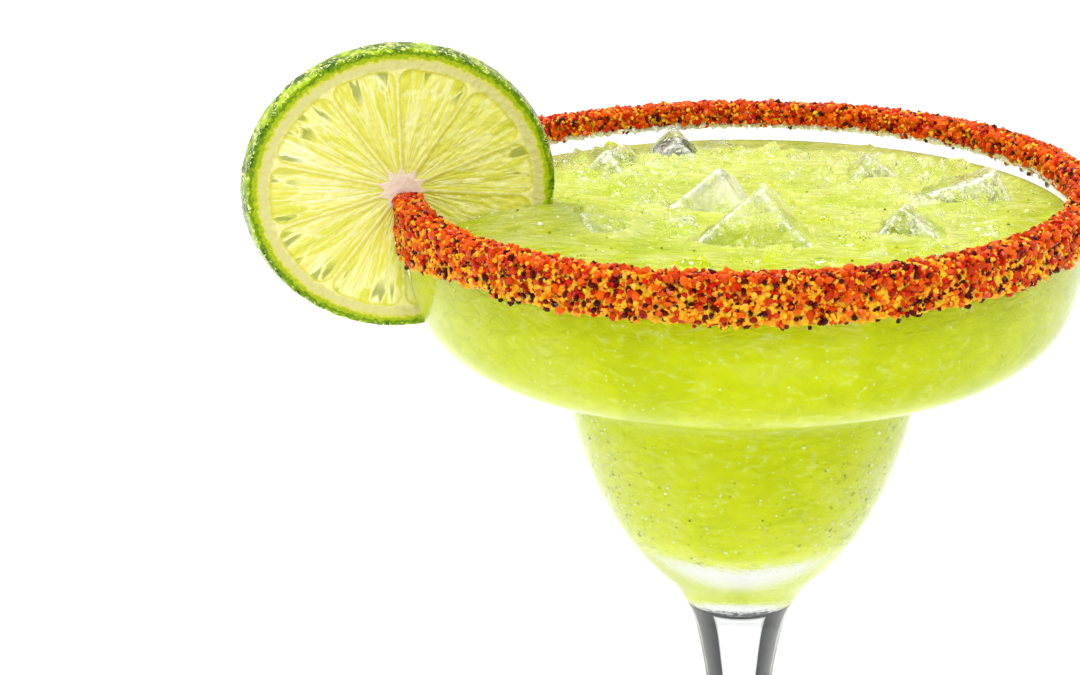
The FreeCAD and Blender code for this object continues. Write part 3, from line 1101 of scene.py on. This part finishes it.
@dataclass
class ChilliSalt:
    """The crust on the lip: a packed bed and loose grains on it."""

    glass: BowlGlass
    thick: float = 0.75
    front_depth: float = 6.2
    back_depth: float = 2.0
    loose: float = 1.5
    inside_depth: float = 4.0
    bed_inside: float = 2.3
    drip_at: float = 196.0
    drip_width: float = 16.0
    drip: float = 3.2
    ragged: float = 0.10
    lump: float = 0.32
    steps: int = 720
    seed: int = 11

    def depth(self, around: float) -> float:
        """How far down the outside the crust reaches.

        Args:
            around: Angle round the axis in radians.

        Returns:
            The depth below the lip in millimetres.
        """
        share = (0.5 - 0.5 * math.sin(around)) ** 0.5
        left = math.exp(-(((math.degrees(around) % 360) - self.drip_at) / self.drip_width) ** 2)
        return self.back_depth + (self.front_depth - self.back_depth) * share + self.drip * left

    def ragged_depth(self, around: float) -> float:
        """The depth with the crust's uneven edge."""
        at = Vector((math.cos(around), math.sin(around), 0.0))
        return self.depth(around) * (1 + self.ragged * noise.fractal(at * 14, 1.0, 2.0, 4))

    def bed(self) -> Object:
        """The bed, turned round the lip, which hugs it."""
        wall_out, wall_in = self.glass.rim, self.glass.rim - self.glass.upper_wall
        top = self.glass.height
        section = [
            Corner(wall_out - 0.2, top - 1.0),
            Corner(wall_out - 0.2, top - self.front_depth),
            Corner(wall_out + self.thick, top - self.front_depth, 0.3),
            Corner(wall_out + self.thick, top + self.thick, 1.3),
            Corner(wall_in - self.thick, top + self.thick, 1.3),
            Corner(wall_in - self.thick, top - self.bed_inside, 0.3),
            Corner(wall_in + 0.2, top - self.bed_inside),
            Corner(wall_in + 0.2, top - 1.0),
        ]
        shape = turned_mesh(outline_points(section, 20.0, 0.45, True), self.steps, True)
        centre = (wall_out + wall_in) / 2 * MM
        for vert in shape.verts:
            around = math.atan2(vert.co.y, vert.co.x)
            outward = vert.co.xy.length > centre
            below = top * MM - vert.co.z
            if below > 0:
                wanted = self.ragged_depth(around) / self.front_depth if outward else 1.0
                vert.co.z = top * MM - below * wanted
        shape.normal_update()
        for vert in shape.verts:
            lump = noise.fractal(vert.co / (1.4 * MM), 1.0, 2.0, 3)
            vert.co += vert.normal * lump * self.lump * MM
        return add_piece("chilli_salt_bed", shape, Crust().material())

    def places(self, count: int, rng: np.random.Generator, kind: GrainKind) -> np.ndarray:
        """Spots on the crust for grains.

        Args:
            count: How many.
            rng: Source of chance.
            kind: The kind of grain.

        Returns:
            Rows of x, y, z in metres.
        """
        rows = []
        wall_out, wall_in = self.glass.rim, self.glass.rim - self.glass.upper_wall
        top, thick = self.glass.height, self.thick
        over = wall_out - wall_in + 2 * thick
        while len(rows) < count:
            around = rng.uniform(0, math.tau)
            bed_end = self.ragged_depth(around)
            outer = bed_end + self.loose
            along = rng.uniform(0, outer + over + self.inside_depth)
            lift = rng.uniform(-0.15, 0.3)
            fallen = kind in (GrainKind.RED, GrainKind.DARK, GrainKind.LUMP)
            if along < outer:
                past = (along - thick - bed_end) / self.loose
                edge = past > (-0.3 if fallen else 0.0)
                if edge and (not fallen or rng.random() < 0.5 + 0.5 * past):
                    continue
                stand = thick + lift if past < 0 else 0.15
                radius, height = wall_out + stand, top + thick - along
                red = kind in (GrainKind.LUMP, GrainKind.RED)
                if red and rng.random() < 0.95 * along / outer:
                    continue
            elif along < outer + over:
                radius, height = wall_out + thick - (along - outer), top + thick + lift
            else:
                stand = thick + lift if along < outer + over + self.bed_inside + thick else 0.2
                radius, height = wall_in - stand, top + thick - (along - outer - over)
            low = math.sin(around) > -0.1 and along > outer + over + self.bed_inside + thick
            if kind is GrainKind.CRYSTAL and not low:
                continue
            if kind is not GrainKind.CRYSTAL and low and rng.random() < 0.75:
                continue
            rows.append((radius * math.cos(around), radius * math.sin(around), height))
        return np.array(rows) * MM

    def grains(self) -> list[Object]:
        """Every kind of grain, one piece a kind."""
        pieces = []
        for kind in GrainKind:
            rng = np.random.default_rng(self.seed + kind.count)
            heap = Scatter(f"{kind.name.lower()}_grains", kind.material(), self.seed + kind.count)
            heap.add_crystals(6, 0.28)
            spots = self.places(kind.count, rng, kind)
            sizes = rng.uniform(kind.small, kind.large, kind.count) * MM
            pieces.append(heap.build(spots, sizes, False))
        return pieces

    def build(self) -> None:
        """Makes the crust and hides the plain one."""
        bed = self.bed()
        pieces = [bed, *self.grains()]
        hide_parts("chilli_salt")
        for piece in pieces:
            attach(piece, "root")


# ---------------------------------------------------------------- lime


@dataclass(frozen=True)
class LimeFlesh:
    """Cut face and skin of a lime, painted from where a point lies in the fruit, with painted
    glints on its juice and skin.
    """

    skin_dark: tuple = shown(62, 98, 0)
    skin: tuple = shown(168, 196, 0)
    glint: tuple = shown(244, 250, 150)
    notch: tuple = shown(108, 146, 4)
    flavedo: tuple = shown(170, 192, 16)
    pith: tuple = shown(220, 216, 142)
    membrane: tuple = shown(243, 240, 160)
    edge: tuple = shown(218, 216, 66)
    juice: tuple = shown(232, 231, 98)
    juice_mid: tuple = shown(240, 238, 136)
    juice_pale_and_glint: tuple = shown(255, 255, 224)
    juice_dark: tuple = shown(218, 221, 70)
    pit: tuple = shown(160, 168, 82)
    heart: tuple = shown(244, 226, 204)

    def material(self) -> Material:
        """The finished material."""
        board = NodeBoard("cut_lime")
        place = board.coordinates()
        cells_at = board.attribute("vesicle").outputs["Vector"]
        depth = board.attribute("depth").outputs["Fac"]
        skin_gap = board.attribute("skin_gap").outputs["Fac"]
        bent = board.noise(cells_at, 1.2, 3.0)
        offset = board.node("ShaderNodeVectorMath", {0: cells_at, 1: bent}, operation="ADD")
        cells = board.node(
            "ShaderNodeTexVoronoi", {"Vector": offset.outputs[0]}, in_Scale=1.0,
            feature="SMOOTH_F1", in_Smoothness=0.6,
        )
        walls = board.node(
            "ShaderNodeTexVoronoi", {"Vector": offset.outputs[0]}, in_Scale=1.0,
            feature="DISTANCE_TO_EDGE",
        )
        tone = board.node("ShaderNodeSeparateColor", {"Color": cells.outputs["Color"]})
        thin = board.node("ShaderNodeMapping", {"Vector": cells_at}, in_Scale=(3.4, 0.9, 1.0))
        streaks = board.noise(thin.outputs[0], 1.0, 4.0, 0.6, 0.8)
        share = board.math("ADD", board.times(tone.outputs[0], 0.3), board.times(streaks, 0.8))
        # The palest juice tone is partly the pale juice sacs and partly painted glints on them.
        flesh = board.ramp(
            share,
            [(0.34, self.juice_dark), (0.48, self.juice), (0.62, self.juice_mid),
             (0.80, self.juice_pale_and_glint)],
        )
        # Pale walls between the juice sacs: partly the pale sac walls and partly painted highlights
        # along them.
        wall = board.ramp(walls.outputs["Distance"], [(0.0, 0.45), (0.10, 0.0)])
        flesh = board.mix(wall, flesh, self.juice_pale_and_glint)
        pits = board.ramp(tone.outputs[1], [(0.52, 0.0), (0.62, 0.8)])
        outer = board.span(skin_gap, 9.0, 6.5)
        pits = board.times(pits, outer)
        middle = board.ramp(walls.outputs["Distance"], [(0.05, 0.0), (0.14, 1.0)])
        pits = board.times(pits, middle)
        flesh = board.mix(pits, flesh, self.pit)
        rough = board.noise(place, 700.0, 3.0)
        jitter = board.times(board.math("SUBTRACT", rough, 0.5), 0.55)
        at = board.math("ADD", depth, jitter)
        inner = board.span(at, 0.12, 0.36)
        rim = board.span(at, 0.3, 0.9)
        flesh = board.mix(rim, self.edge, flesh)
        comb = board.math("SUBTRACT", board.noise(place, 1300.0, 2.0), 0.5)
        gap = board.math("ADD", skin_gap, board.times(comb, 1.7))
        mottle = board.noise(place, 240.0, 4.0, 0.6, 0.8)
        skin = board.ramp(mottle, [(0.42, self.skin_dark), (0.60, self.skin)])
        gleam = board.noise(place, 620.0, 3.0, 0.6, 2.4)
        skin = board.mix(board.ramp(gleam, [(0.54, 0.0), (0.60, 0.9)]), skin, self.glint)
        ring = board.ramp(
            board.times(gap, 0.1),
            [(0.030, self.notch), (0.070, self.notch), (0.100, self.flavedo), (0.145, self.flavedo),
             (0.175, self.edge), (0.210, self.pith)],
        )
        on_skin = board.ramp(board.times(gap, 0.1), [(0.020, 1.0), (0.048, 0.0)])
        ring = board.mix(on_skin, ring, skin)
        heart = board.span(skin_gap, 20.5, 22.5)
        membrane = board.mix(heart, self.membrane, self.heart)
        gate = board.ramp(board.times(gap, 0.1), [(0.33, 0.0), (0.40, 1.0)])
        solid = board.mix(gate, ring, membrane)
        colour = board.mix(inner, solid, flesh)
        pore = board.node("ShaderNodeTexVoronoi", {"Vector": place}, in_Scale=900.0)
        relief = board.bump(pore.outputs["Distance"], 0.0004, 0.5)
        relief = board.bump(walls.outputs["Distance"], 0.0006, 0.25, relief)
        relief = board.bump(streaks, 0.0005, 0.3, relief)
        lime = board.principled(
            colour, relief, Roughness=0.15, IOR=1.4, Specular_Tint=(0.5, 0.5, 0.5, 1.0),
            Subsurface_Weight=0.3, Subsurface_Radius=(1.0, 1.0, 0.3), Subsurface_Scale=0.002,
        )
        return board.surface(lime)


@dataclass
class LimeWheel:
    """The wheel of lime: flesh in segments, pith and skin, slit over the crusted wall."""

    glass: BowlGlass
    salt: ChilliSalt
    width: float = 54.0
    tall: float = 48.9
    length: float = 62.0
    start: float = 4.0
    thick: float = 4.4
    around: float = 189.0
    out: float = 1.1
    turn: float = 16.0
    lean: float = -3.0
    middle_height: float = 172.8
    peel: float = 3.4
    core: float = 2.4
    corner: float = 2.6
    spike: float = 1.4
    crust_room: float = 1.3
    glass_room: float = 0.1
    crust_end: float = 9.0
    dimple: float = 0.13
    swell: float = 0.2
    sink: float = 0.22
    steps: int = 480
    membranes: tuple = (-7.0, 21.0, 55.0, 90.0, 122.0, 163.0, 195.0, 232.0, 268.0, 310.0)

    def placement(self) -> Matrix:
        """From the fruit's own axes, in metres, to the scene."""
        around = math.radians(self.around)
        seat = Vector((math.cos(around), math.sin(around), 0))
        middle = seat * (self.glass.rim - self.glass.upper_wall / 2 + self.out)
        middle.z = self.middle_height
        facing = Matrix.Rotation(math.radians(self.turn), 4, "Z") @ Matrix.Rotation(
            math.radians(90 + self.lean), 4, "X"
        )
        axis = facing @ Vector((0, 0, 1))
        fruit = middle - axis * (self.start + self.thick / 2)
        return Matrix.Translation(fruit * MM) @ facing

    def radius(self, height: float) -> float:
        """Half the fruit's width at a height along its axis, in millimetres."""
        return self.width / 2 * math.sqrt(1 - (height / (self.length / 2)) ** 2)

    def wheel(self) -> bmesh.types.BMesh:
        """The whole slice, turned about the fruit's axis and made oval."""
        front, back = self.start + self.thick, self.start
        outline = [(k * 0.3, front) for k in range(math.floor(self.radius(front) / 0.3))]
        outline.append((self.radius(front) - 0.12, front - 0.02))
        rows = 14
        for k in range(rows + 1):
            height = front - 0.15 - (self.thick - 0.3) * k / rows
            outline.append((self.radius(height), height))
        outline.append((self.radius(back) - 0.12, back + 0.02))
        outline += [(k * 0.6, back) for k in range(math.floor(self.radius(back) / 0.6), -1, -1)]
        shape = turned_mesh([Vector((x, 0, z)) * MM for x, z in outline], self.steps)
        oval = Matrix.Diagonal((1, self.tall / self.width, 1, 1))
        bmesh.ops.transform(shape, matrix=oval, verts=shape.verts)
        return shape

    def measures(self, point: Vector) -> tuple[float, float, float, int]:
        """Where a point lies in the fruit.

        Args:
            point: A point on the fruit's own axes, in metres.

        Returns:
            Depth inside the nearest segment's edge, gap to the skin, angle from the segment's
            middle in degrees, and the segment's number.
        """
        x, y, z = point / MM
        y *= self.width / self.tall
        reach = math.hypot(x, y)
        angle = math.degrees(math.atan2(y, x))
        gap = self.radius(z) - reach
        start = self.membranes[0]
        turned = (angle - start) % 360
        edges = [(a - start) % 360 for a in self.membranes] + [360.0]
        number = max(i for i, edge in enumerate(edges[:-1]) if turned >= edge)
        low, high = edges[number], edges[number + 1]
        near = min(turned - low, high - turned)
        from_wall = reach * math.sin(math.radians(min(near, 90)))
        from_peel = gap - self.peel
        from_core = reach - self.core - self.spike * math.exp(-((from_wall / 0.7) ** 2))
        depth = min(self.rounded(from_wall, from_peel), from_core)
        return depth, gap, turned - (low + high) / 2, number

    def rounded(self, first: float, second: float) -> float:
        """Depth inside a corner between two walls, which is rounded."""
        if first >= self.corner or second >= self.corner:
            return min(first, second)
        return self.corner - math.hypot(self.corner - first, self.corner - second)

    def relief(self, shape: bmesh.types.BMesh) -> None:
        """Raises the membranes, sinks the flesh unevenly and dimples the skin."""
        front = (self.start + self.thick) * MM
        for vert in shape.verts:
            depth, gap, _, _ = self.measures(vert.co)
            x, y, z = vert.co / MM
            if gap < 0.2:
                dimple = noise.noise(vert.co / (1.1 * MM)) * self.dimple
                vert.co += Vector((x, y, 0)).normalized() * dimple * MM
                continue
            facing = 1 if vert.co.z > front - 0.001 * MM else -1
            inside = max(0.0, depth)
            sink = self.sink * min(1.0, inside / 0.8)
            streak = Vector((math.atan2(y, x) * 14, math.hypot(x, y) / 3.0, z))
            swell = noise.fractal(streak, 1.0, 2.0, 3) * self.swell * min(1.0, inside)
            vert.co.z += facing * (swell - sink) * MM

    def cutter(self) -> bmesh.types.BMesh:
        """The crusted wall with a little room, which the slit goes round."""
        glass, crust, bare = self.glass, self.crust_room, self.glass_room
        out, inside = glass.rim, glass.rim - glass.upper_wall
        top, end = glass.height, glass.height - self.crust_end
        wall, waist = top - glass.brim_drop, top - glass.waist_drop
        shoulder = top - glass.shoulder_drop
        section = [
            Corner(out + crust, top + crust, 1.2),
            Corner(out + crust, end),
            Corner(out + bare, end - 0.5),
            Corner(out + bare, wall),
            Corner(out - glass.shoulder_in + bare, shoulder - bare, glass.shoulder_curve),
            Corner(glass.waist, waist - bare, 6.0),
            Corner(glass.waist, waist + glass.shelf_lift, 3.6),
            Corner(inside - glass.shoulder_in - bare, shoulder + glass.shelf_lift + bare, 9.8),
            Corner(inside - bare, wall),
            Corner(inside - bare, end - 0.5),
            Corner(inside - crust, top - self.salt.inside_depth - 1),
            Corner(inside - crust, top + crust, 1.2),
        ]
        return turned_mesh(outline_points(section, 15.0, 6.0, True), 176, True)

    def build(self) -> None:
        """Makes the wheel, cuts its slit and paints where each point lies."""
        shape = self.wheel()
        self.relief(shape)
        place = self.placement()
        bmesh.ops.transform(shape, matrix=place, verts=shape.verts)
        bmesh.ops.recalc_face_normals(shape, faces=shape.faces)
        piece = add_piece("lime_slice", shape, LimeFlesh().material())
        blank = add_piece("slit_cutter", self.cutter(), piece.data.materials[0])
        slit = piece.modifiers.new("slit", "BOOLEAN")
        slit.operation, slit.object, slit.solver = "DIFFERENCE", blank, "EXACT"
        graph = bpy.context.evaluated_depsgraph_get()
        cut = bpy.data.meshes.new_from_object(piece.evaluated_get(graph))
        piece.modifiers.clear()
        piece.data = cut
        bpy.data.objects.remove(blank)
        self.paint(piece, place.inverted())
        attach(piece, "root")
        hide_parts("lime_wheel")

    def paint(self, piece: Object, home: Matrix) -> None:
        """Writes the attributes that the finish reads.

        Args:
            piece: The cut wheel.
            home: From the scene to the fruit's own axes.
        """
        depths, gaps, cells = [], [], []
        for vert in piece.data.vertices:
            point = home @ vert.co
            depth, gap, turned, number = self.measures(point)
            reach = point.xy.length / MM
            depths.append(depth)
            gaps.append(gap)
            inward = reach * 0.13 + abs(turned) * 0.02
            cells += [turned * 0.21, inward, number * 7.3 + point.z * 150]
        for name, values in (("depth", depths), ("skin_gap", gaps)):
            layer = piece.data.attributes.new(name, "FLOAT", "POINT")
            layer.data.foreach_set("value", values)
        layer = piece.data.attributes.new("vesicle", "FLOAT_VECTOR", "POINT")
        layer.data.foreach_set("vector", cells)
        piece.data.polygons.foreach_set("use_smooth", [True] * len(piece.data.polygons))


# ---------------------------------------------------------------- studio


@dataclass
class Studio:
    """A pale floor, soft light and the camera."""

    camera_at: tuple[float, float, float] = (0.0, -381.7, 271.5)
    turned_left: float = 5.27
    tilted_down: float = 18.52
    rolled: float = -1.32
    lens: float = 76.67
    sky: float = 0.62
    sky_through_glass: float = 0.98
    sun_from: tuple[float, float, float] = (0.08, -0.52, 0.85)
    sun_strength: float = 1.72
    sun_width: float = 26.0
    rind_lamp_at: tuple[float, float, float] = (-0.55, 0.35, 0.85)
    rind_lamp_size: float = 0.35
    rind_lamp_watts: float = 7.0
    lamps_look_at: tuple[float, float, float] = (0.0, 0.0, 0.16)

    def floor(self) -> None:
        """The large pale floor."""
        shape = bmesh.new()
        bmesh.ops.create_grid(shape, x_segments=2, y_segments=2, size=12.0)
        board = NodeBoard("studio_floor")
        grain = board.noise(board.coordinates(), 40.0, 3.0)
        colour = board.ramp(grain, [(0.3, (0.86, 0.86, 0.85)), (0.7, (0.90, 0.90, 0.89))])
        paper = board.surface(board.principled(colour, Roughness=0.8))
        floor = add_piece("studio_floor", shape, paper)

    def camera(self) -> None:
        """The camera, by its place and three turns."""
        yaw, pitch, roll = (
            math.radians(a) for a in (self.turned_left, self.tilted_down, self.rolled)
        )
        ahead = Vector(
            (-math.sin(yaw) * math.cos(pitch), math.cos(yaw) * math.cos(pitch), -math.sin(pitch))
        )
        level = Vector((math.cos(yaw), math.sin(yaw), 0))
        upright = level.cross(ahead)
        right = level * math.cos(roll) + upright * math.sin(roll)
        up = upright * math.cos(roll) - level * math.sin(roll)
        data = bpy.data.cameras.new("camera")
        data.lens = self.lens
        data.sensor_width = 36.0
        data.clip_start = 0.01
        camera = placed("camera", data)
        turned = Matrix((right, up, -ahead)).transposed().to_4x4()
        camera.matrix_world = Matrix.Translation(Vector(self.camera_at) * MM) @ turned
        bpy.context.scene.camera = camera

    def lamp(self, name: str, at: tuple, size: float, watts: float) -> None:
        """A soft square lamp that looks at the bowl and leaves no glare on it.

        Args:
            name: Its name.
            at: Its place in metres.
            size: Its side in metres.
            watts: Its power.
        """
        data = bpy.data.lights.new(name, "AREA")
        data.size, data.energy = size, watts
        lamp = placed(name, data)
        lamp.visible_glossy = False
        aim = Vector(self.lamps_look_at) - Vector(at)
        turned = aim.to_track_quat("-Z", "Y").to_matrix().to_4x4()
        lamp.matrix_world = Matrix.Translation(at) @ turned

    def sun(self) -> None:
        """A broad, soft main light from high in front."""
        data = bpy.data.lights.new("main_lamp", "SUN")
        data.energy, data.angle = self.sun_strength, math.radians(self.sun_width)
        lamp = placed("main_lamp", data)
        lamp.matrix_world = Vector(self.sun_from).to_track_quat("Z", "Y").to_matrix().to_4x4()

    def skylight(self) -> None:
        """Even white light, a little stronger where it is seen through glass."""
        world = bpy.data.worlds.new("studio")
        bpy.context.scene.world = world
        world.use_nodes = True
        nodes, links = world.node_tree.nodes, world.node_tree.links
        sky = nodes["Background"]
        sky.inputs["Color"].default_value = (1.0, 1.0, 1.0, 1.0)
        path = nodes.new("ShaderNodeLightPath")
        through = nodes.new("ShaderNodeMapRange")
        through.inputs["To Min"].default_value = self.sky
        through.inputs["To Max"].default_value = self.sky_through_glass
        links.new(path.outputs["Is Transmission Ray"], through.inputs[0])
        links.new(through.outputs[0], sky.inputs["Strength"])

    def build(self) -> None:
        """Sets everything up."""
        self.floor()
        self.camera()
        self.skylight()
        self.sun()
        self.lamp("rind_lamp", self.rind_lamp_at, self.rind_lamp_size, self.rind_lamp_watts)
        bpy.context.scene.view_settings.view_transform = "Standard"


def main() -> None:
    """Builds the drink in its glass, piece by piece."""
    logging.basicConfig(level=logging.INFO, format="%(relativeCreated)d ms %(message)s")
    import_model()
    noise.seed_set(NOISE_SEED)
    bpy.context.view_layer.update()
    glass = BowlGlass()
    ice = IcePile()
    drink = Drink(glass, ice)
    salt = ChilliSalt(glass)
    pieces = (glass, ice, drink, CrushedIce(drink), Bubbles(drink), salt, LimeWheel(glass, salt))
    for piece in (*pieces, Studio()):
        piece.build()
        LOG.info("%s done", type(piece).__name__)


if __name__ == "__main__":
    main()
